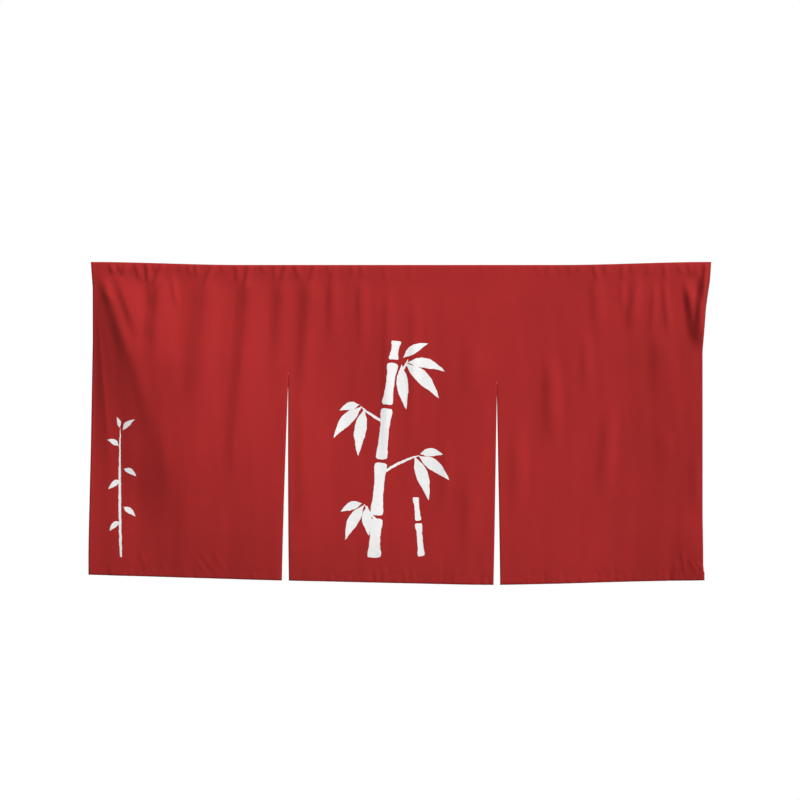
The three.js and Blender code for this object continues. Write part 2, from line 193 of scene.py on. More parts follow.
# Puckers of the bottom hem: where they run, the ranges that their sizes are drawn from, and
# how much deeper they get from left to right
PUCKERS_FROM = -0.815
PUCKERS_TO = 0.790
PUCKER_HEIGHT = (0.022, 0.040)
PUCKER_WIDTH = (0.005, 0.009)
PUCKER_DEPTH_SHARE = (-1.0, 0.8)
PUCKER_LEAN = (-0.006, 0.006)
PUCKER_SPACING = (0.013, 0.026)
PUCKER_GAIN = (0.6, 1.3)
PUCKER_GAIN_REACH = 0.8  # from the middle to where the gain is least, and to where it is most
PUCKER_OVERRUN = 0.012  # below the hem's edge
PUCKER_DIE = 0.008

# Broad waves of the whole cloth
Wave = namedtuple("Wave", "length reach phase drift")
WAVES = (
    Wave(length=0.597, reach=0.003, phase=0.6, drift=1.6),
    Wave(length=0.258, reach=0.0012, phase=1.9, drift=-2.1),
)
WAVE_START = 0.040
WAVE_FULL = 0.400

# Faint unevenness of washed and hung cloth: a long ripple and a short one
RIPPLE_START = 0.030
RIPPLE_FULL = 0.100
LONG_RIPPLE_LENGTH = 0.083
LONG_RIPPLE_REACH = 0.00030
SHORT_RIPPLE_LENGTH = 0.047
SHORT_RIPPLE_REACH = 0.00020

# Where the right edge and its lower corner stand forward: the start, and the width over which
# the cloth comes forward, across and downwards
Rise = namedtuple("Rise", "x over_x z over_z out")
RISES = (
    Rise(x=0.600, over_x=0.260, z=-0.080, over_z=0.150, out=0.018),
    Rise(x=0.712, over_x=0.084, z=-0.640, over_z=0.150, out=0.012),
)
# The foot of the cloth swings back, more at the left side than at the right one
SWING_START = -0.700
SWING_LEFT = 0.018
SWING_RIGHT = 0.005

# Where the lights stand, and the point that all of them shine on
KEY_PLACE = (3.4, -3.5, 2.6)
FILL_PLACE = (0.1, -1.9, 1.25)
BACK_PLACE = (1.8, 4.0, 0.5)
LIT_POINT = (0.0, 0.0, -0.42)

# The roundness of a fold's bends, as a share of its flank's width
ROUND_BEND = 0.5
CRISP_CREST_BEND = 0.14
CRISP_FOOT_BEND = 0.30
FRONT_FOLD_FULL = 0.090  # below the top edge, where the front's folds have their full reach
BACK_FOLD_START = 0.037  # below the top edge, where the pocket's back begins to follow them
STITCH_GROOVE_WIDTH = 0.003
STITCH_GROOVE_DEPTH = 0.0004

# The pocket: its walls' steps, and how its back is drawn in to the seam
POCKET_BACK_STEPS = 8
POCKET_FRONT_STEPS = 12
POCKET_FULL_SHARE = 0.86  # how far down the drop its back keeps its bulge
POCKET_TUCK = 0.006  # how far the back runs on below the seam
POCKET_TURN = 0.004  # cloth taken up by the turn over the top edge
SEAM_DEPTH = 0.0010  # from the front to the back, at the seam
SEAM_EASE = 0.010
BEZIER_PEAK = 0.75  # such a curve's bulge, as a share of its handles' reach
CUBIC_PEAK = 4.0 / 27.0  # the highest value of t * (1 - t) ** 2

# Rows down the panels, as shares of their height: the step near both ends and between them
FINE_ROW_STEP = 0.0062
COARSE_ROW_STEP = 0.0125
FINE_ROWS_TO = 0.05
ROW_STEP_EASE = 0.12
LEAST_ROW_SHARE = 0.4  # of a step: a shorter last row is joined to the one before it

LAYER_STEP = 0.0011  # between the middles of two layers of a hem
# How a hem's edge turns over: how far it has come back, and its layer, a row for each step
HEM_TURN = ((-0.0004, 0.55), (0.0012, 1.0))
HEM_MIDDLE_SHARE = 0.6
CORNER_SHARE = 1.7  # of a side hem's width, where the bottom hem climbs over it

# Rows of sewing, measured from the edges and ends that they keep clear of
SEWING_STEP = 0.004
SEWING_INSET = 0.002
SEWING_UNDER_POCKET = 0.0015
SEWING_END_SPACE = 0.003
SEWING_TOP = -0.054
SEWING_OVER_SLIT = 0.012
SEWING_FOOT_HEIGHT = -0.80
STITCH_RISE = 0.05  # of the thread's radius: how far its middle stands clear of the cloth


def smooth(t):
    t = np.clip(t, 0.0, 1.0)
    return t * t * (3.0 - 2.0 * t)


def lerp(a, b, t):
    return a + (b - a) * t


class ClothSettings(bpy.types.PropertyGroup):
    thickness: FloatProperty(
        name="Thickness", description="Thickness of one layer of cloth",
        default=0.0006, min=0.0002, max=0.002, precision=5, unit="LENGTH")
    column_step: FloatProperty(
        name="Column step", description="Mesh spacing across the cloth",
        default=0.0042, min=0.002, max=0.03, precision=4, unit="LENGTH")
    side_hem: FloatProperty(
        name="Side hem", description="Width of the hem along each outer side",
        default=0.011, min=0.004, max=0.03, precision=4, unit="LENGTH")
    slit_hem: FloatProperty(
        name="Slit hem", description="Width of the hem along each side of a slit",
        default=0.008, min=0.004, max=0.03, precision=4, unit="LENGTH")
    foot_hem: FloatProperty(
        name="Bottom hem", description="Height of the hem along the bottom",
        default=0.022, min=0.006, max=0.06, precision=4, unit="LENGTH")
    gather_width: FloatProperty(
        name="Gather width", description="Width of the steep sides of a gather together",
        default=0.015, min=0.004, max=0.03, precision=4, unit="LENGTH")
    gather_strength: FloatProperty(
        name="Gather strength", description="Scales the depth of all the pinched gathers",
        default=1.15, min=0.0, max=3.0)
    pucker_depth: FloatProperty(
        name="Pucker depth", description="Depth of the puckers along the bottom hem",
        default=0.0019, min=0.0, max=0.006, precision=4, unit="LENGTH")
    seed: IntProperty(
        name="Seed", description="Fixes where the puckers of the bottom hem fall",
        default=11, min=0)


class DyeSettings(bpy.types.PropertyGroup):
    red: FloatVectorProperty(
        name="Red dye", description="Colour of the dyed cloth",
        default=(0.355, 0.0157, 0.0153), min=0.0, max=1.0, subtype="COLOR")
    white: FloatVectorProperty(
        name="Undyed white", description="Colour of the decoration",
        default=(0.86, 0.86, 0.855), min=0.0, max=1.0, subtype="COLOR")
    thread: FloatVectorProperty(
        name="Thread", description="Colour of the sewing thread",
        default=(0.34, 0.022, 0.022), min=0.0, max=1.0, subtype="COLOR")
    thread_pitch: FloatProperty(
        name="Yarn pitch", description="Distance from yarn to yarn of the weave",
        default=0.0011, min=0.0003, max=0.004, precision=5, unit="LENGTH")
    weave_relief: FloatProperty(
        name="Weave relief", description="Height of the weave's relief",
        default=0.00006, min=0.0, max=0.0005, precision=6, unit="LENGTH")


class SewingSettings(bpy.types.PropertyGroup):
    pitch: FloatProperty(
        name="Stitch pitch", description="Distance from stitch to stitch",
        default=0.0036, min=0.002, max=0.01, precision=4, unit="LENGTH")
    length: FloatProperty(
        name="Stitch length", description="Length of one stitch",
        default=0.0028, min=0.001, max=0.009, precision=4, unit="LENGTH")
    radius: FloatProperty(
        name="Thread radius", description="Radius of the thread",
        default=0.00024, min=0.0001, max=0.001, precision=5, unit="LENGTH")


class StageSettings(bpy.types.PropertyGroup):
    lens: FloatProperty(
        name="Lens", description="Focal length in millimetres", default=85.0, min=20.0)
    frame_width: FloatProperty(
        name="Frame width", description="Width of the picture where the curtain hangs",
        default=2.12, min=0.5, unit="LENGTH")
    key_power: FloatProperty(
        name="Key light", description="Strength of the slanting light from the upper right",
        default=3.4, min=0.0)
    fill_power: FloatProperty(
        name="Fill light", description="Power of the soft light from the front",
        default=20.0, min=0.0)
    back_power: FloatProperty(
        name="Back light", description="Strength of the light on the curtain's back",
        default=1.5, min=0.0)
    sky: FloatProperty(
        name="Ambient light", description="Strength of the even light from all round",
        default=0.08, min=0.0)
    floor_drop: FloatProperty(
        name="Floor", description="How far the floor lies below the curtain's top edge",
        default=1.95, min=0.9, unit="LENGTH")


# Shape of the hung cloth

def top_edge(x):
    reach = HALF_WIDTH - CORNER_LIFT_START
    return CORNER_LIFT * smooth((np.abs(x) - CORNER_LIFT_START) / reach)


def hem_edge(x):
    left = x < HEM_LOW_X
    reach = np.where(left, HEM_LOW_X + HALF_WIDTH, HALF_WIDTH - HEM_LOW_X)
    rise = np.where(left, HEM_RISE_LEFT, HEM_RISE_RIGHT)
    return HEM_LOW_Z + rise * (np.abs(x - HEM_LOW_X) / reach) ** HEM_CURVE


def side_edge(side, z):
    """Place of a side edge at height z: heights are listed from the top down."""
    return np.interp(-z, [-h for h in side.heights], side.places)


def border(index, z, of_left_panel):
    """A side of the cloth or of a slit, at height z."""
    if index == 0:
        return side_edge(LEFT_SIDE, z)
    if index == len(SLITS) + 1:
        return side_edge(RIGHT_SIDE, z)
    slit = SLITS[index - 1]
    opened = np.maximum(0.0, (slit.top - z) / (slit.top - hem_edge(np.float64(slit.x))))
    if of_left_panel:
        return slit.x - slit.part_left * opened
    return slit.x + slit.part_right * opened


def flank(r, crisp):
    """Height of a fold's flank at share r of its width: 1 at the crest and 0 at the foot."""
    crest = lerp(ROUND_BEND, CRISP_CREST_BEND, crisp)
    foot = lerp(ROUND_BEND, CRISP_FOOT_BEND, crisp)

    def eased(t, ease):
        return np.clip(t, 0.0, ease) ** 2 / (2.0 * ease) + np.maximum(t - ease, 0.0)

    fallen = eased(r, crest) - eased(r - (1.0 - foot), foot)
    return 1.0 - fallen / (1.0 - (crest + foot) / 2.0)


def fold_forward(fold, x, z):
    length = fold.top_z - fold.foot_z
    along = (fold.top_z - z) / length
    inside = (along > 0.0) & (along < 1.0)
    along = np.clip(along, 0.0, 1.0)
    line = lerp(fold.top_x, fold.foot_x, along) + 4.0 * fold.bow * along * (1.0 - along)
    lean = (fold.foot_x - fold.top_x) / length
    across = (x - line) / math.sqrt(1.0 + lean * lean)
    left_flank = lerp(fold.left_top, fold.left_foot, along)
    right_flank = lerp(fold.right_top, fold.right_foot, along)
    r = np.clip(np.abs(across) / np.where(across < 0.0, left_flank, right_flank), 0.0, 1.0)
    shape = flank(r, fold.crisp)
    grown = smooth(along * length / fold.grow) * smooth((1.0 - along) * length / fold.die)
    return np.where(inside, fold.out * grown * shape, 0.0)


def gather_folds(cloth):
    """The small pinches that hang from the top edge: each is steep at its left side."""
    folds = []
    for gather in GATHERS:
        steep = cloth.gather_width * 0.5
        soft = steep * GATHER_SOFT_SIDE
        folds.append(Fold(
            gather.x + steep, GATHER_START, gather.x + gather.lean + steep, -gather.drop, 0,
            steep, steep * GATHER_SPREAD, soft, soft * GATHER_SPREAD,
            gather.depth * cloth.gather_strength,
            GATHER_GROW, gather.drop * GATHER_DIE_SHARE, GATHER_CRISP))
    return folds


def hem_puckers(cloth):
    """The puckers that the bottom hem's sewing draws in, stronger towards the right."""
    rng = random.Random(cloth.seed + 1)
    folds = []
    x = PUCKERS_FROM
    while x < PUCKERS_TO:
        foot = float(hem_edge(np.float64(x)))
        tall = rng.uniform(*PUCKER_HEIGHT)
        width = rng.uniform(*PUCKER_WIDTH)
        gain = lerp(*PUCKER_GAIN, (x + PUCKER_GAIN_REACH) / (2.0 * PUCKER_GAIN_REACH))
        depth = cloth.pucker_depth * rng.uniform(*PUCKER_DEPTH_SHARE) * gain
        lean = rng.uniform(*PUCKER_LEAN)
        folds.append(Fold(
            x + lean, foot + tall, x, foot - PUCKER_OVERRUN, 0, width, width, width, width,
            depth, tall * 0.5, PUCKER_DIE))
        x += rng.uniform(*PUCKER_SPACING)
    return folds


def waves_forward(x, z):
    below = smooth((-z - WAVE_START) / WAVE_FULL)
    total = np.zeros_like(x)
    for wave in WAVES:
        turn = 2 * math.pi * x / wave.length + wave.phase + wave.drift * z
        total += wave.reach * below * np.sin(turn)
    return total


def rises_forward(x, z):
    return sum(rise.out * smooth((x - rise.x) / rise.over_x) * smooth((rise.z - z) / rise.over_z)
               for rise in RISES)


def swing_back(x, z):
    below = np.maximum(0.0, (SWING_START - z) / (SWING_START - HEM_LOW_Z))
    swing = lerp(SWING_LEFT, SWING_RIGHT, smooth((x + HALF_WIDTH) / (2.0 * HALF_WIDTH)))
    return swing * below ** 2


def ripple_forward(x, z):
    """The long and the short ripple, each wandering sideways as it runs down the cloth."""
    wander = 2.2 * np.sin(5.0 * z) + 0.35 * np.sin(7.0 * z + 3.0 * x)
    short_wander = 4.1 * z + 1.3 * np.sin(9.0 * z + 5.0 * x)
    long_ripple = np.sin(2 * math.pi * x / LONG_RIPPLE_LENGTH + wander)
    short_ripple = np.sin(2 * math.pi * x / SHORT_RIPPLE_LENGTH + short_wander)
    reach = LONG_RIPPLE_REACH * long_ripple + SHORT_RIPPLE_REACH * short_ripple
    return smooth((-z - RIPPLE_START) / RIPPLE_FULL) * reach


class HungCloth:
    """Where the cloth stands in front of its plane, with every fold worked in."""

    def __init__(self, cloth):
        self.folds = MAIN_FOLDS + SMALL_FOLDS
        self.puckers = hem_puckers(cloth)
        self.gathers = gather_folds(cloth)
        self.cloth = cloth

    def forward(self, x, z):
        total = waves_forward(x, z) + rises_forward(x, z) - swing_back(x, z)
        for fold in self.folds:
            total = total + fold_forward(fold, x, z)
        total = total * smooth(-z / FRONT_FOLD_FULL)
        total = total + ripple_forward(x, z)
        for fold in self.puckers:
            total = total + fold_forward(fold, x, z)
        return total - self.grooves(x, z)

    def back_forward(self, x, z):
        """The pocket's back hangs flat but for the last stretch, where it is sewn to the front."""
        sewn = self.forward(x, body_top(x))
        below = top_edge(x) - z
        return sewn * smooth((below - BACK_FOLD_START) / (POCKET_DROP - BACK_FOLD_START))

    def pinched(self, x, z):
        total = np.zeros_like(x)
        for fold in self.gathers:
            total = total + fold_forward(fold, x, z)
        return total

    def grooves(self, x, z):
        """The shallow channel that sewing pulls into the cloth along the foot and both sides."""
        from_lines = [
            z - hem_edge(x) - self.cloth.foot_hem,
            x - side_edge(LEFT_SIDE, z) - self.cloth.side_hem,
            side_edge(RIGHT_SIDE, z) - x - self.cloth.side_hem,
        ]
        return sum(STITCH_GROOVE_DEPTH * np.exp(-(away / STITCH_GROOVE_WIDTH) ** 2)
                   for away in from_lines)


def bezier(p0, p1, p2, p3, t):
    a = np.outer((1 - t) ** 3, p0)
    b = np.outer(3 * t * (1 - t) ** 2, p1)
    c = np.outer(3 * t * t * (1 - t), p2)
    return a + b + c + np.outer(t ** 3, p3)


# A row across the cloth: y and drop place one of the pocket, share one of the panels, and hem
# and layer one of the turned hem. inner says which way the row's inner layers lie.
Row = namedtuple("Row", "kind y drop share hem layer inner", defaults=(0.0, 0.0, 0.0, 0.0, 0.0, 1))


def pocket_rows():
    """Rows of the pocket, from the sewn end at the back over the top edge and down the front."""
    rows = [Row("pocket", y=SEAM_DEPTH, drop=POCKET_DROP + POCKET_TUCK, inner=-1)]
    reach = POCKET_BACK_BULGE / BEZIER_PEAK
    back = bezier(
        (0, 0), (reach, 0), (reach, POCKET_DROP * POCKET_FULL_SHARE), (0, POCKET_DROP),
        np.linspace(0.0, 1.0, POCKET_BACK_STEPS + 1))
    for y, drop in back[::-1]:
        drawn_in = SEAM_DEPTH * smooth((drop - POCKET_DROP + SEAM_EASE) / SEAM_EASE)
        rows.append(Row("pocket", y=y + drawn_in, drop=drop, inner=-1))
    for t in np.linspace(0.0, 1.0, POCKET_FRONT_STEPS + 1)[1:]:
        y = -POCKET_FRONT_BULGE / CUBIC_PEAK * t * (1.0 - t) ** 2
        rows.append(Row("pocket", y=y, drop=POCKET_DROP * t))
    return rows


def hem_steps(width):
    """Steps of a turned hem: how far each has come back from the edge, and its layer."""
    return HEM_TURN + ((width * HEM_MIDDLE_SHARE, 1.0), (width, 1.0))


def body_rows(cloth, slit_shares):
    """Rows from under the pocket to the hem, closer together near both ends."""
    stops = [0.0] + list(slit_shares) + [1.0]
    rows = []
    for start, end in zip(stops[:-1], stops[1:]):
        share = start
        while share < end:
            from_end = min(share, 1.0 - share)
            coarse = float(smooth((from_end - FINE_ROWS_TO) / ROW_STEP_EASE))
            step = lerp(FINE_ROW_STEP, COARSE_ROW_STEP, coarse)
            share = min(end, share + step)
            if end - share < step * LEAST_ROW_SHARE:
                share = end
            rows.append(Row("body", share=share))
    for back, layer in hem_steps(cloth.foot_hem):
        rows.append(Row("hem", share=1.0, hem=back, layer=layer))
    return rows


def body_top(x):
    return top_edge(x) - POCKET_DROP


def slit_share(slit):
    """How far down the panels a slit's upper end lies."""
    x = np.float64(slit.x)
    return float((body_top(x) - slit.top) / (body_top(x) - hem_edge(x)))


# The columns of a panel. For each: its share of the panel's width, how far it has come back
# from the edge, its layer, and whether it is counted from the left side. Then the numbers of
# the first and the last column that lie on the panel's sides.
Columns = namedtuple("Columns", "share come_back layer from_left first last")


def panel_columns(cloth, panel):
    """Columns across a panel, with the steps of the hem at each side of it."""
    middle_z = np.float64(-0.5)
    width = float(border(panel + 1, middle_z, True) - border(panel, middle_z, False))
    count = round(width / cloth.column_step)
    left = hem_steps(cloth.side_hem if panel == 0 else cloth.slit_hem)
    right = hem_steps(cloth.side_hem if panel == len(SLITS) else cloth.slit_hem)
    share = np.concatenate([
        np.zeros(len(left)), np.linspace(0.0, 1.0, count + 1), np.ones(len(right))])
    between = ((0.0, 0.0),) * (count + 1)
    come_back, layer = np.array(left[::-1] + between + right).T
    from_left = np.arange(len(share)) < len(left) + count // 2
    return Columns(share, come_back, layer, from_left, len(left), len(left) + count)


def panel_faces(numbers, columns, panel, tips):
    """Faces of a panel. Beside a slit, the hems begin below the row of its upper end."""
    faces = []
    for r in range(len(numbers) - 1):
        whole_left = panel > 0 and r <= tips[panel - 1]
        whole_right = panel < len(SLITS) and r <= tips[panel]
        start = columns.first if whole_left else 0
        stop = columns.last if whole_right else len(columns.share) - 1
        for c in range(start, stop):
            faces.append((
                numbers[r, c], numbers[r + 1, c], numbers[r + 1, c + 1], numbers[r, c + 1]))
    return faces


def place_points(hung, row, panel, columns):
    """Points of one row of a panel, and where each lies on the flat cloth."""
    share = columns.share
    layer = columns.layer
    turned_in = np.where(columns.from_left, columns.come_back, -columns.come_back)

    def sides(z):
        return border(panel, z, False), border(panel + 1, z, True)

    # Each point's height depends on its place and its place on its height: both settle soon.
    x = lerp(*sides(np.float64(0.0)), share)
    for _ in range(3):
        if row.kind == "pocket":
            z = top_edge(x) - row.drop
        else:
            z = lerp(body_top(x), hem_edge(x), row.share)
        x = lerp(*sides(z), share) + turned_in
    flat_u = lerp(*sides(z), share) - turned_in
    if row.inner > 0:
        y = row.y - hung.forward(x, z) - hung.pinched(x, z)
        flat_v = z
    else:
        y = row.y - hung.back_forward(x, z)
        flat_v = 2.0 * top_edge(x) - z + POCKET_TURN
    if row.kind == "hem":
        # In a corner the bottom hem climbs over the side hem.
        from_side = np.minimum(*(np.abs(x - side) for side in sides(z)))
        side_hem = hung.cloth.side_hem
        climbed = smooth((side_hem * CORNER_SHARE - from_side) / side_hem)
        over_side = lerp(layer, 3.0 - layer, min(row.layer, 1.0))
        layer = np.where(layer > 0, over_side, row.layer * (1.0 + 2.0 * climbed))
        z = z + row.hem
        flat_v = flat_v - row.hem
    y = y + LAYER_STEP * layer * row.inner
    return np.stack([x, y, z], -1), np.stack([flat_u, flat_v], -1)


def build_cloth_mesh(cloth):
    """The whole cloth as one mesh: a grid for each panel, joined above the slits."""
    hung = HungCloth(cloth)
    shares = [slit_share(slit) for slit in SLITS]
    rows = pocket_rows() + body_rows(cloth, shares)
    tips = []
    for tip_share in shares:
        tips.append(next(i for i, row in enumerate(rows)
                         if row.kind == "body" and abs(row.share - tip_share) < 1e-6))

    places = []
    flats = []
    faces = []
    first = 0
    previous_right = None
    for panel in range(len(SLITS) + 1):
        columns = panel_columns(cloth, panel)
        for row in rows:
            points, flat = place_points(hung, row, panel, columns)
            places.append(points)
            flats.append(flat)
        size = (len(rows), len(columns.share))
        numbers = first + np.arange(size[0] * size[1]).reshape(size)
        first += numbers.size
        if previous_right is not None:
            # Above a slit's end, both panels share the column between them.
            joined = tips[panel - 1] + 1
            numbers[:joined, columns.first] = previous_right[:joined]
        previous_right = numbers[:, columns.last]
        faces += panel_faces(numbers, columns, panel, tips)

    places = np.concatenate(places)
    flats = np.concatenate(flats)
    faces = np.array(faces)
    used = np.unique(faces)
    renumber = np.full(len(places), -1)
    renumber[used] = np.arange(len(used))
    faces = renumber[faces]
    mesh = bpy.data.meshes.new("noren_cloth")
    mesh.from_pydata(places[used].tolist(), [], faces.tolist())
    flat_map = mesh.uv_layers.new(name="cloth_flat")
    corners = np.zeros(len(mesh.loops), dtype=np.int32)
    mesh.loops.foreach_get("vertex_index", corners)
    flat_map.data.foreach_set("uv", flats[used][corners].ravel())
    mesh.shade_smooth()
    mesh.validate()
    return mesh


# Materials

def node(tree, kind, inputs=None, **settings):
    """Adds a node; an input given a socket is linked to it, and any other value is set."""
    made = tree.nodes.new(kind)
    for name, value in settings.items():
        setattr(made, name, value)
    for key, value in (inputs or {}).items():
        socket = made.inputs[key]
        if isinstance(value, bpy.types.NodeSocket):
            tree.links.new(value, socket)
        else:
            socket.default_value = value
    return made


def calc(tree, operation, *values):
    return node(tree, "ShaderNodeMath", dict(enumerate(values)), operation=operation).outputs[0]


def vector_calc(tree, operation, *values):
    inputs = dict(enumerate(values))
    return node(tree, "ShaderNodeVectorMath", inputs, operation=operation).outputs[0]


def scaled(tree, vector, factor):
    inputs = {0: vector, "Scale": factor}
    return node(tree, "ShaderNodeVectorMath", inputs, operation="SCALE").outputs[0]


def noise(tree, place, scale, detail, output=0):
    inputs = {"Vector": place, "Scale": scale, "Detail": detail}
    return node(tree, "ShaderNodeTexNoise", inputs).outputs[output]


def spread(tree, value, low, high):
    """Spreads the middle of a noise's range over low to high."""
    return node(tree, "ShaderNodeMapRange", {
        "Value": value, "From Min": 0.3, "From Max": 0.7, "To Min": low, "To Max": high}).outputs[0]


def empty_material(name):
    material = bpy.data.materials.new(name)
    material.use_nodes = True
    material.node_tree.nodes.clear()
    return material, material.node_tree


def new_group(name, inputs, outputs):
    tree = bpy.data.node_groups.new(name, "ShaderNodeTree")
    for kind, socket_name in inputs:
        tree.interface.new_socket(socket_name, in_out="INPUT", socket_type=kind)
    for kind, socket_name in outputs:
        tree.interface.new_socket(socket_name, in_out="OUTPUT", socket_type=kind)
    start = tree.nodes.new("NodeGroupInput")
    end = tree.nodes.new("NodeGroupOutput")
    return tree, start.outputs, end.inputs


# A brush stroke's half width along its length, as shares of its full half width
LEAF_PROFILE = ((0.0, 0.05), (0.10, 0.34), (0.30, 0.92), (0.45, 1.0), (0.72, 0.62), (1.0, 0.0))
CULM_PROFILE = (
    (0.0, 0.0), (0.02, 0.86), (0.06, 1.0), (0.30, 0.84), (0.70, 0.82), (0.94, 1.0), (0.98, 0.88),
    (1.0, 0.0))
TWIG_PROFILE = ((0.0, 0.8), (0.15, 1.0), (0.8, 0.7), (1.0, 0.0))
BRUSH_EDGE = 0.0007  # over which a stroke's edge fades
HAND_WOBBLE = 0.0045  # the width within which a stroke's outline strays
HAND_WOBBLE_SCALE = 70.0
CULM_TAPER = 0.07  # how much of its width a stem loses at each joint


def brush_group(name, profile):
    """One stroke of a brush: 1 inside it and 0 outside, in the flat cloth's metres."""
    floats = ["Base X", "Base Z", "Angle", "Length", "Width", "Bend"]
    tree, given, result = new_group(
        name, [("NodeSocketVector", "Vector")] + [("NodeSocketFloat", n) for n in floats],
        [("NodeSocketFloat", "Mask")])
    base = node(tree, "ShaderNodeCombineXYZ", {0: given["Base X"], 1: given["Base Z"]})
    offset = vector_calc(tree, "SUBTRACT", given["Vector"], base.outputs[0])
    back_turn = calc(tree, "MULTIPLY", given["Angle"], -1.0)
    turned = node(
        tree, "ShaderNodeVectorRotate", {"Vector": offset, "Angle": back_turn},
        rotation_type="Z_AXIS")
    parts = node(tree, "ShaderNodeSeparateXYZ", {0: turned.outputs[0]})
    along = calc(tree, "DIVIDE", parts.outputs[0], given["Length"])
    rest = calc(tree, "SUBTRACT", 1.0, along)
    bow = calc(tree, "MULTIPLY", calc(tree, "MULTIPLY", along, rest), given["Bend"])
    sideways = calc(tree, "ABSOLUTE", calc(tree, "SUBTRACT", parts.outputs[1], bow))
    curve = node(tree, "ShaderNodeFloatCurve", {"Value": along})
    points = curve.mapping.curves[0].points
    points[0].location = profile[0]
    points[1].location = profile[-1]
    for x, y in profile[1:-1]:
        points.new(x, y)
    curve.mapping.update()
    half = calc(tree, "MULTIPLY", curve.outputs[0], calc(tree, "MULTIPLY", given["Width"], 0.5))
    to_end = calc(tree, "MULTIPLY", calc(tree, "MINIMUM", along, rest), given["Length"])
    inside = calc(tree, "MINIMUM", to_end, calc(tree, "SUBTRACT", half, sideways))
    mask = node(
        tree, "ShaderNodeMapRange", {"Value": inside, "From Min": 0.0, "From Max": BRUSH_EDGE},
        interpolation_type="SMOOTHSTEP")
    tree.links.new(mask.outputs[0], result["Mask"])
    return tree


Stroke = namedtuple("Stroke", "kind x z angle length width bend")
MIDDLE_X = -0.024  # middle of the large decoration
MIDDLE_Z = -0.486
SPRIG_X = -0.742  # foot of the small sprig at the left
SPRIG_Z = -0.775

# Leaves of the large decoration, from its middle: base, direction in degrees, length, width, bend
LEAVES = (
    (0.040, 0.228, -14, 0.104, 0.027, 0.010),
    (0.034, 0.226, -46, 0.132, 0.034, 0.007),
    (0.026, 0.222, -84, 0.120, 0.031, -0.004),
    (0.030, 0.240, 30, 0.078, 0.023, 0.006),
    (-0.086, 0.116, -164, 0.056, 0.021, -0.004),
    (-0.080, 0.110, -132, 0.112, 0.031, -0.007),
    (-0.072, 0.106, -98, 0.128, 0.032, -0.004),
    (0.074, -0.014, -2, 0.062, 0.022, 0.005),
    (0.070, -0.020, -38, 0.104, 0.031, 0.006),
    (0.060, -0.022, -72, 0.122, 0.032, 0.004),
    (-0.080, -0.146, -158, 0.060, 0.022, -0.005),
    (-0.074, -0.150, -118, 0.106, 0.030, -0.006),
    (-0.066, -0.152, -86, 0.080, 0.026, -0.003),
)
# Twigs that carry them: base, direction, length, width, bend
TWIGS = (
    (0.014, 0.186, 60, 0.058, 0.0070, -0.002),
    (-0.010, 0.066, 148, 0.088, 0.0075, 0.004),
    (-0.016, -0.060, 25, 0.098, 0.0075, 0.004),
    (-0.036, -0.196, 128, 0.062, 0.0065, 0.002),
)
# The small sprig, from its foot
SPRIG_STEM = ((0.0, 0.0, 90.0, 0.345, 0.0075, 0.0025),)
SPRIG_LEAVES = (
    (0.006, 0.338, 40, 0.044, 0.014, 0.003),
    (-0.002, 0.344, 104, 0.030, 0.012, -0.002),
    (-0.004, 0.296, 152, 0.036, 0.014, -0.003),
    (0.008, 0.236, -30, 0.040, 0.015, 0.003),
    (0.000, 0.206, -142, 0.042, 0.015, -0.003),
    (0.006, 0.134, -38, 0.042, 0.015, 0.003),
    (-0.002, 0.096, -138, 0.038, 0.014, -0.003),
)


def culm_strokes():
    """Two jointed stems, each joint a stroke of its own with a little space to the next."""
    strokes = []
    Stem = namedtuple("Stem", "x z angle turn lengths width space")
    stems = (
        Stem(-0.048, -0.290, 86.5, -1.4, (0.104, 0.140, 0.136, 0.112, 0.050), 0.036, 0.009),
        Stem(0.078, -0.286, 95.0, 1.2, (0.088, 0.062), 0.019, 0.007),
    )
    for stem in stems:
        x = stem.x
        z = stem.z
        angle = stem.angle
        for number, length in enumerate(stem.lengths):
            width = stem.width * (1.0 - CULM_TAPER * number)
            strokes.append(Stroke("culm", MIDDLE_X + x, MIDDLE_Z + z, angle, length, width, 0.0))
            x += (length + stem.space) * math.cos(math.radians(angle))
            z += (length + stem.space) * math.sin(math.radians(angle))
            angle += stem.turn
    return strokes


def all_strokes():
    strokes = culm_strokes()
    for kind, origin_x, origin_z, rows in (
            ("leaf", MIDDLE_X, MIDDLE_Z, LEAVES), ("twig", MIDDLE_X, MIDDLE_Z, TWIGS),
            ("leaf", SPRIG_X, SPRIG_Z, SPRIG_LEAVES), ("twig", SPRIG_X, SPRIG_Z, SPRIG_STEM)):
        for x, z, *sizes in rows:
            strokes.append(Stroke(kind, origin_x + x, origin_z + z, *sizes))
    return strokes


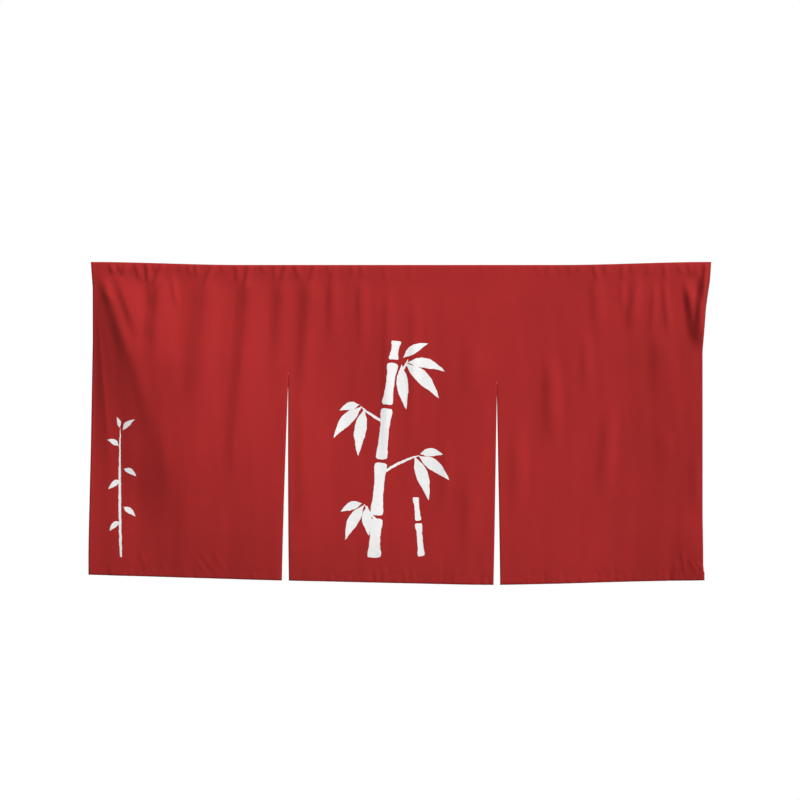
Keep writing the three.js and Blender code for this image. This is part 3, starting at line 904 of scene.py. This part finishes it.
def decoration_group():
    """The whole brushed decoration: 1 where the cloth stays white."""
    tree, given, result = new_group(
        "brushed bamboo", [("NodeSocketVector", "Vector")], [("NodeSocketFloat", "Mask")])
    brushes = {
        "leaf": brush_group("brushed leaf", LEAF_PROFILE),
        "culm": brush_group("brushed culm", CULM_PROFILE),
        "twig": brush_group("brushed twig", TWIG_PROFILE),
    }
    wobble = noise(tree, given["Vector"], HAND_WOBBLE_SCALE, 2.0, output="Color")
    centred = vector_calc(tree, "SUBTRACT", wobble, (0.5, 0.5, 0.5))
    shift = vector_calc(tree, "MULTIPLY", centred, (HAND_WOBBLE, HAND_WOBBLE, 0.0))
    hand = vector_calc(tree, "ADD", given["Vector"], shift)
    total = None
    for stroke in all_strokes():
        brush = node(tree, "ShaderNodeGroup", node_tree=brushes[stroke.kind])
        tree.links.new(hand, brush.inputs["Vector"])
        for name, value in (
                ("Base X", stroke.x), ("Base Z", stroke.z),
                ("Angle", math.radians(stroke.angle)), ("Length", stroke.length),
                ("Width", stroke.width), ("Bend", 4.0 * stroke.bend)):
            brush.inputs[name].default_value = value
        mask = brush.outputs["Mask"]
        total = mask if total is None else calc(tree, "MAXIMUM", total, mask)
    tree.links.new(total, result["Mask"])
    return tree


def weave_group(pitch):
    """Plain weave on the flat cloth: its relief, and how each yarn's tone differs."""
    tree, given, result = new_group(
        "plain weave", [("NodeSocketVector", "Vector")],
        [("NodeSocketFloat", "Relief"), ("NodeSocketFloat", "Tone")])
    parts = node(tree, "ShaderNodeSeparateXYZ", {0: given["Vector"]})
    turn = math.pi / pitch
    warp = calc(tree, "SINE", calc(tree, "MULTIPLY", parts.outputs[0], turn))
    weft = calc(tree, "SINE", calc(tree, "MULTIPLY", parts.outputs[1], turn))
    warp_up = calc(tree, "GREATER_THAN", calc(tree, "MULTIPLY", warp, weft), 0.0)
    relief = node(tree, "ShaderNodeMix", {
        "Factor": warp_up, "A": calc(tree, "ABSOLUTE", weft), "B": calc(tree, "ABSOLUTE", warp)},
        data_type="FLOAT")
    tree.links.new(relief.outputs[0], result["Relief"])
    # Each yarn keeps its tone along its length: first across the warp, then across the weft.
    tones = []
    for stretch in ((900.0, 14.0, 1.0), (14.0, 900.0, 1.0)):
        yarns = vector_calc(tree, "MULTIPLY", given["Vector"], stretch)
        tones.append(noise(tree, yarns, 1.0, 1.0))
    tone = calc(tree, "MULTIPLY", calc(tree, "ADD", *tones), 0.5)
    tree.links.new(tone, result["Tone"])
    return tree


def cloth_material(name, dye, decoration, weave, show_through):
    """Dyed cotton: show_through is how much of the white decoration this face shows."""
    material, tree = empty_material(name)
    flat = node(tree, "ShaderNodeUVMap", uv_map="cloth_flat").outputs[0]
    drawn = node(tree, "ShaderNodeGroup", {"Vector": flat}, node_tree=decoration)
    woven = node(tree, "ShaderNodeGroup", {"Vector": flat}, node_tree=weave)

    mottle = noise(tree, flat, 90.0, 3.0)
    broad_tone = spread(tree, noise(tree, flat, 5.0, 3.0), 0.955, 1.045)
    mottle_tone = spread(tree, mottle, 0.975, 1.025)
    yarn_tone = spread(tree, woven.outputs["Tone"], 0.94, 1.06)
    tone = calc(tree, "MULTIPLY", calc(tree, "MULTIPLY", broad_tone, mottle_tone), yarn_tone)

    white_share = calc(tree, "MULTIPLY", drawn.outputs["Mask"], show_through)
    colour = node(tree, "ShaderNodeMix", {"Factor": white_share}, data_type="RGBA")
    colour.inputs["A"].default_value = (*dye.red, 1.0)
    colour.inputs["B"].default_value = (*dye.white, 1.0)
    bump = node(tree, "ShaderNodeBump", {
        "Height": woven.outputs["Relief"], "Strength": 0.5, "Distance": dye.weave_relief})
    shader = node(tree, "ShaderNodeBsdfPrincipled", {
        "Base Color": scaled(tree, colour.outputs["Result"], tone),
        "Roughness": spread(tree, mottle, 0.82, 0.92),
        "Specular IOR Level": 0.2, "Sheen Weight": 0.06, "Sheen Roughness": 0.5,
        "Normal": bump.outputs[0]})
    node(tree, "ShaderNodeOutputMaterial", {"Surface": shader.outputs[0]})
    return material


def thread_material(dye):
    """Spun sewing thread, a little fuzzy and uneven in tone."""
    material, tree = empty_material("sewing thread")
    fuzz = noise(tree, node(tree, "ShaderNodeTexCoord").outputs["Object"], 1400.0, 2.0)
    bump = node(tree, "ShaderNodeBump", {"Height": fuzz, "Strength": 0.4, "Distance": 0.00005})
    shader = node(tree, "ShaderNodeBsdfPrincipled", {
        "Base Color": scaled(tree, tuple(dye.thread), spread(tree, fuzz, 0.8, 1.15)),
        "Roughness": 0.6, "Specular IOR Level": 0.3, "Normal": bump.outputs[0]})
    node(tree, "ShaderNodeOutputMaterial", {"Surface": shader.outputs[0]})
    return material


def plain_material(name, colour, roughness):
    material = bpy.data.materials.new(name)
    material.use_nodes = True
    shader = material.node_tree.nodes["Principled BSDF"]
    shader.inputs["Base Color"].default_value = (*colour, 1.0)
    shader.inputs["Roughness"].default_value = roughness
    return material


def add_object(name, data, collection):
    made = bpy.data.objects.new(name, data)
    collection.objects.link(made)
    return made


# Sewing

def stitch_lines(cloth):
    """Each row of sewing, as points (x, z) a little inside its hem's inner edge."""
    lines = []

    def across(place, start, end):
        xs = np.arange(start, end, SEWING_STEP)
        lines.append(np.stack([xs, place(xs)], -1))

    left = float(side_edge(LEFT_SIDE, -POCKET_DROP))
    right = float(side_edge(RIGHT_SIDE, -POCKET_DROP))
    across(lambda xs: body_top(xs) - SEWING_UNDER_POCKET, left + SEWING_INSET, right - SEWING_INSET)
    low = np.float64(SEWING_FOOT_HEIGHT)
    for panel in range(len(SLITS) + 1):
        start = float(border(panel, low, False)) + SEWING_END_SPACE
        end = float(border(panel + 1, low, True)) - SEWING_END_SPACE
        across(lambda xs: hem_edge(xs) + cloth.foot_hem - SEWING_INSET, start, end)
        for edge, of_left_panel, inward, foot_x in (
                (panel, False, 1.0, start), (panel + 1, True, -1.0, end)):
            outer = edge in (0, len(SLITS) + 1)
            hem = cloth.side_hem if outer else cloth.slit_hem
            top = SEWING_TOP if outer else SLITS[edge - 1].top - SEWING_OVER_SLIT
            foot = float(hem_edge(np.float64(foot_x))) + cloth.foot_hem
            zs = np.arange(top, foot, -SEWING_STEP)
            xs = border(edge, zs, of_left_panel) + inward * (hem - SEWING_INSET)
            lines.append(np.stack([xs, zs], -1))
    return lines


def stitch_tree(material):
    """Geometry Nodes: a stitch at every pitch along each line, lying along it."""
    tree = bpy.data.node_groups.new("row of stitches", "GeometryNodeTree")
    made = {}
    for name in ("Lines", "Pitch", "Stitch Length", "Thread Radius"):
        kind = "NodeSocketGeometry" if name == "Lines" else "NodeSocketFloat"
        made[name] = tree.interface.new_socket(name, in_out="INPUT", socket_type=kind)
    tree.interface.new_socket("Stitches", in_out="OUTPUT", socket_type="NodeSocketGeometry")
    given = tree.nodes.new("NodeGroupInput").outputs
    curve = node(tree, "GeometryNodeMeshToCurve", {"Mesh": given["Lines"]})
    points = node(
        tree, "GeometryNodeCurveToPoints",
        {"Curve": curve.outputs[0], "Length": given["Pitch"]}, mode="LENGTH")
    bead = node(tree, "GeometryNodeMeshUVSphere", {"Segments": 6, "Rings": 4, "Radius": 1.0})
    size = node(tree, "ShaderNodeCombineXYZ", {
        0: given["Thread Radius"], 1: given["Thread Radius"],
        2: calc(tree, "MULTIPLY", given["Stitch Length"], 0.5)})
    shaped = node(tree, "GeometryNodeTransform", {
        "Geometry": bead.outputs[0], "Scale": size.outputs[0]})
    placed = node(tree, "GeometryNodeInstanceOnPoints", {
        "Points": points.outputs["Points"], "Instance": shaped.outputs[0],
        "Rotation": points.outputs["Rotation"]})
    real = node(tree, "GeometryNodeRealizeInstances", {"Geometry": placed.outputs[0]})
    coloured = node(tree, "GeometryNodeSetMaterial", {
        "Geometry": real.outputs[0], "Material": material})
    end = tree.nodes.new("NodeGroupOutput")
    tree.links.new(coloured.outputs[0], end.inputs[0])
    return tree, {name: socket.identifier for name, socket in made.items()}


def sew(context, name, side, cloth, sewing, material):
    """Lays stitches on one face of the cloth: side is -1 on the front and 1 on the back."""
    hung = HungCloth(cloth)
    hem_layer = 0.0 if side < 0 else LAYER_STEP
    lift = side * (cloth.thickness * 0.5 + sewing.radius * STITCH_RISE)
    points = []
    edges = []
    for line in stitch_lines(cloth):
        x, z = line.T
        y = hem_layer + lift - hung.forward(x, z) - hung.pinched(x, z)
        start = len(points)
        points.extend(zip(x.tolist(), y.tolist(), z.tolist()))
        edges.extend((start + i, start + i + 1) for i in range(len(line) - 1))
    mesh = bpy.data.meshes.new(name + "_lines")
    mesh.from_pydata(points, edges, [])
    guide = add_object(name + "_lines", mesh, context.scene.collection)
    tree, sockets = stitch_tree(material)
    modifier = guide.modifiers.new("stitches", "NODES")
    modifier.node_group = tree
    modifier[sockets["Pitch"]] = sewing.pitch
    modifier[sockets["Stitch Length"]] = sewing.length
    modifier[sockets["Thread Radius"]] = sewing.radius
    evaluated = guide.evaluated_get(context.evaluated_depsgraph_get())
    stitches = bpy.data.meshes.new_from_object(evaluated)
    stitches.name = name
    guide.modifiers.remove(modifier)
    bpy.data.objects.remove(guide)
    stitches.shade_smooth()
    return add_object(name, stitches, context.scene.collection)


# Operators

class NOREN_OT_make_cloth(bpy.types.Operator):
    """Builds the one-piece cloth with its pocket, slits, hems, folds and decoration"""
    bl_idname = "noren.make_cloth"
    bl_label = "Make cloth"

    def execute(self, context):
        cloth = context.scene.noren_cloth
        dye = context.scene.noren_dye
        mesh = build_cloth_mesh(cloth)
        curtain = add_object("noren_cloth", mesh, context.scene.collection)
        decoration = decoration_group()
        weave = weave_group(dye.thread_pitch)
        mesh.materials.append(cloth_material("dyed cloth face", dye, decoration, weave, 1.0))
        mesh.materials.append(cloth_material("dyed cloth back", dye, decoration, weave, 0.8))
        thicken = curtain.modifiers.new("thickness", "SOLIDIFY")
        thicken.thickness = cloth.thickness
        thicken.offset = 0.0
        thicken.material_offset = 1
        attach(curtain, "root")
        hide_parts("cloth", "rod_pocket")
        return {"FINISHED"}


class NOREN_OT_sew_hems(bpy.types.Operator):
    """Sews the pocket and the hems with a row of stitches on both faces of the cloth"""
    bl_idname = "noren.sew_hems"
    bl_label = "Sew hems"

    def execute(self, context):
        scene = context.scene
        material = thread_material(scene.noren_dye)
        for name, side in (("front_stitches", -1), ("back_stitches", 1)):
            stitches = sew(context, name, side, scene.noren_cloth, scene.noren_sewing, material)
            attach(stitches, "root")
        return {"FINISHED"}


class NOREN_OT_set_stage(bpy.types.Operator):
    """Sets the floor, the light and the camera at the photograph's viewing angle"""
    bl_idname = "noren.set_stage"
    bl_label = "Set stage"

    def execute(self, context):
        scene = context.scene
        stage = scene.noren_stage
        self.add_camera(scene, stage)
        self.add_light(scene, stage)
        self.add_floor(scene, stage)
        self.set_sky(scene, stage)
        scene.view_settings.view_transform = "Standard"
        scene.view_settings.look = "None"
        return {"FINISHED"}

    def add_camera(self, scene, stage):
        """Looks straight on at the middle of the picture."""
        lens = bpy.data.cameras.new("photo camera")
        lens.lens = stage.lens
        lens.sensor_width = 36.0
        camera = add_object("photo camera", lens, scene.collection)
        picture_side = 800
        pixel = stage.frame_width / picture_side
        top_edge_pixel = Vector((401.0, 265.0))
        middle_pixel = Vector((picture_side / 2, picture_side / 2))
        aim = (middle_pixel - top_edge_pixel) * pixel
        distance = stage.frame_width * stage.lens / lens.sensor_width
        camera.location = (aim.x, -distance, -aim.y)
        camera.rotation_euler = (math.radians(90), 0, 0)
        scene.camera = camera

    def add_light(self, scene, stage):
        key = bpy.data.lights.new("key", "SUN")
        key.angle = math.radians(14)
        fill = bpy.data.lights.new("soft fill", "AREA")
        fill.shape = "DISK"
        fill.size = 1.2
        back = bpy.data.lights.new("back light", "SUN")
        back.angle = math.radians(30)
        for light, place, power in (
                (key, KEY_PLACE, stage.key_power), (fill, FILL_PLACE, stage.fill_power),
                (back, BACK_PLACE, stage.back_power)):
            light.energy = power
            lamp = add_object(light.name, light, scene.collection)
            lamp.location = place
            towards = Vector(LIT_POINT) - lamp.location
            lamp.rotation_euler = towards.to_track_quat("-Z", "Y").to_euler()

    def add_floor(self, scene, stage):
        sides = 96
        radius = 1.35
        turns = [2 * math.pi * i / sides for i in range(sides)]
        rim = [(radius * math.cos(a), radius * math.sin(a), -stage.floor_drop) for a in turns]
        mesh = bpy.data.meshes.new("floor")
        mesh.from_pydata(rim, [], [tuple(range(sides))])
        mesh.materials.append(plain_material("pale floor", (0.78, 0.77, 0.75), 0.7))
        floor = add_object("floor", mesh, scene.collection)

    def set_sky(self, scene, stage):
        """An even soft light, and a white background behind the curtain."""
        world = bpy.data.worlds.new("white studio")
        world.use_nodes = True
        tree = world.node_tree
        tree.nodes.clear()
        even = node(tree, "ShaderNodeBackground", {"Color": (1, 1, 1, 1), "Strength": stage.sky})
        seen = node(tree, "ShaderNodeBackground", {"Color": (1, 1, 1, 1), "Strength": 1.0})
        ray = node(tree, "ShaderNodeLightPath")
        both = node(tree, "ShaderNodeMixShader", {
            0: ray.outputs["Is Camera Ray"], 1: even.outputs[0], 2: seen.outputs[0]})
        node(tree, "ShaderNodeOutputWorld", {"Surface": both.outputs[0]})
        scene.world = world


class NOREN_PT_panel(bpy.types.Panel):
    """Lists the curtain's sizes, colours and steps"""
    bl_idname = "NOREN_PT_panel"
    bl_label = "Noren curtain"
    bl_space_type = "VIEW_3D"
    bl_region_type = "UI"
    bl_category = "Noren"

    def draw(self, context):
        scene = context.scene
        for title, settings, operator in (
                ("Cloth", scene.noren_cloth, "noren.make_cloth"),
                ("Dye", scene.noren_dye, None),
                ("Sewing", scene.noren_sewing, "noren.sew_hems"),
                ("Stage", scene.noren_stage, "noren.set_stage")):
            box = self.layout.box()
            box.label(text=title)
            for name in settings.__annotations__:
                box.prop(settings, name)
            if operator:
                box.operator(operator)


CLASSES = (
    ClothSettings, DyeSettings, SewingSettings, StageSettings,
    NOREN_OT_make_cloth, NOREN_OT_sew_hems, NOREN_OT_set_stage, NOREN_PT_panel,
)
GROUPS = {
    "noren_cloth": ClothSettings,
    "noren_dye": DyeSettings,
    "noren_sewing": SewingSettings,
    "noren_stage": StageSettings,
}


def register():
    for cls in CLASSES:
        bpy.utils.register_class(cls)
    for name, group in GROUPS.items():
        setattr(bpy.types.Scene, name, PointerProperty(type=group))


def unregister():
    for name in GROUPS:
        delattr(bpy.types.Scene, name)
    for cls in reversed(CLASSES):
        bpy.utils.unregister_class(cls)


def main():
    register()
    bpy.ops.noren.set_stage()
    bpy.ops.noren.make_cloth()
    bpy.ops.noren.sew_hems()


if __name__ == "__main__":
    main()
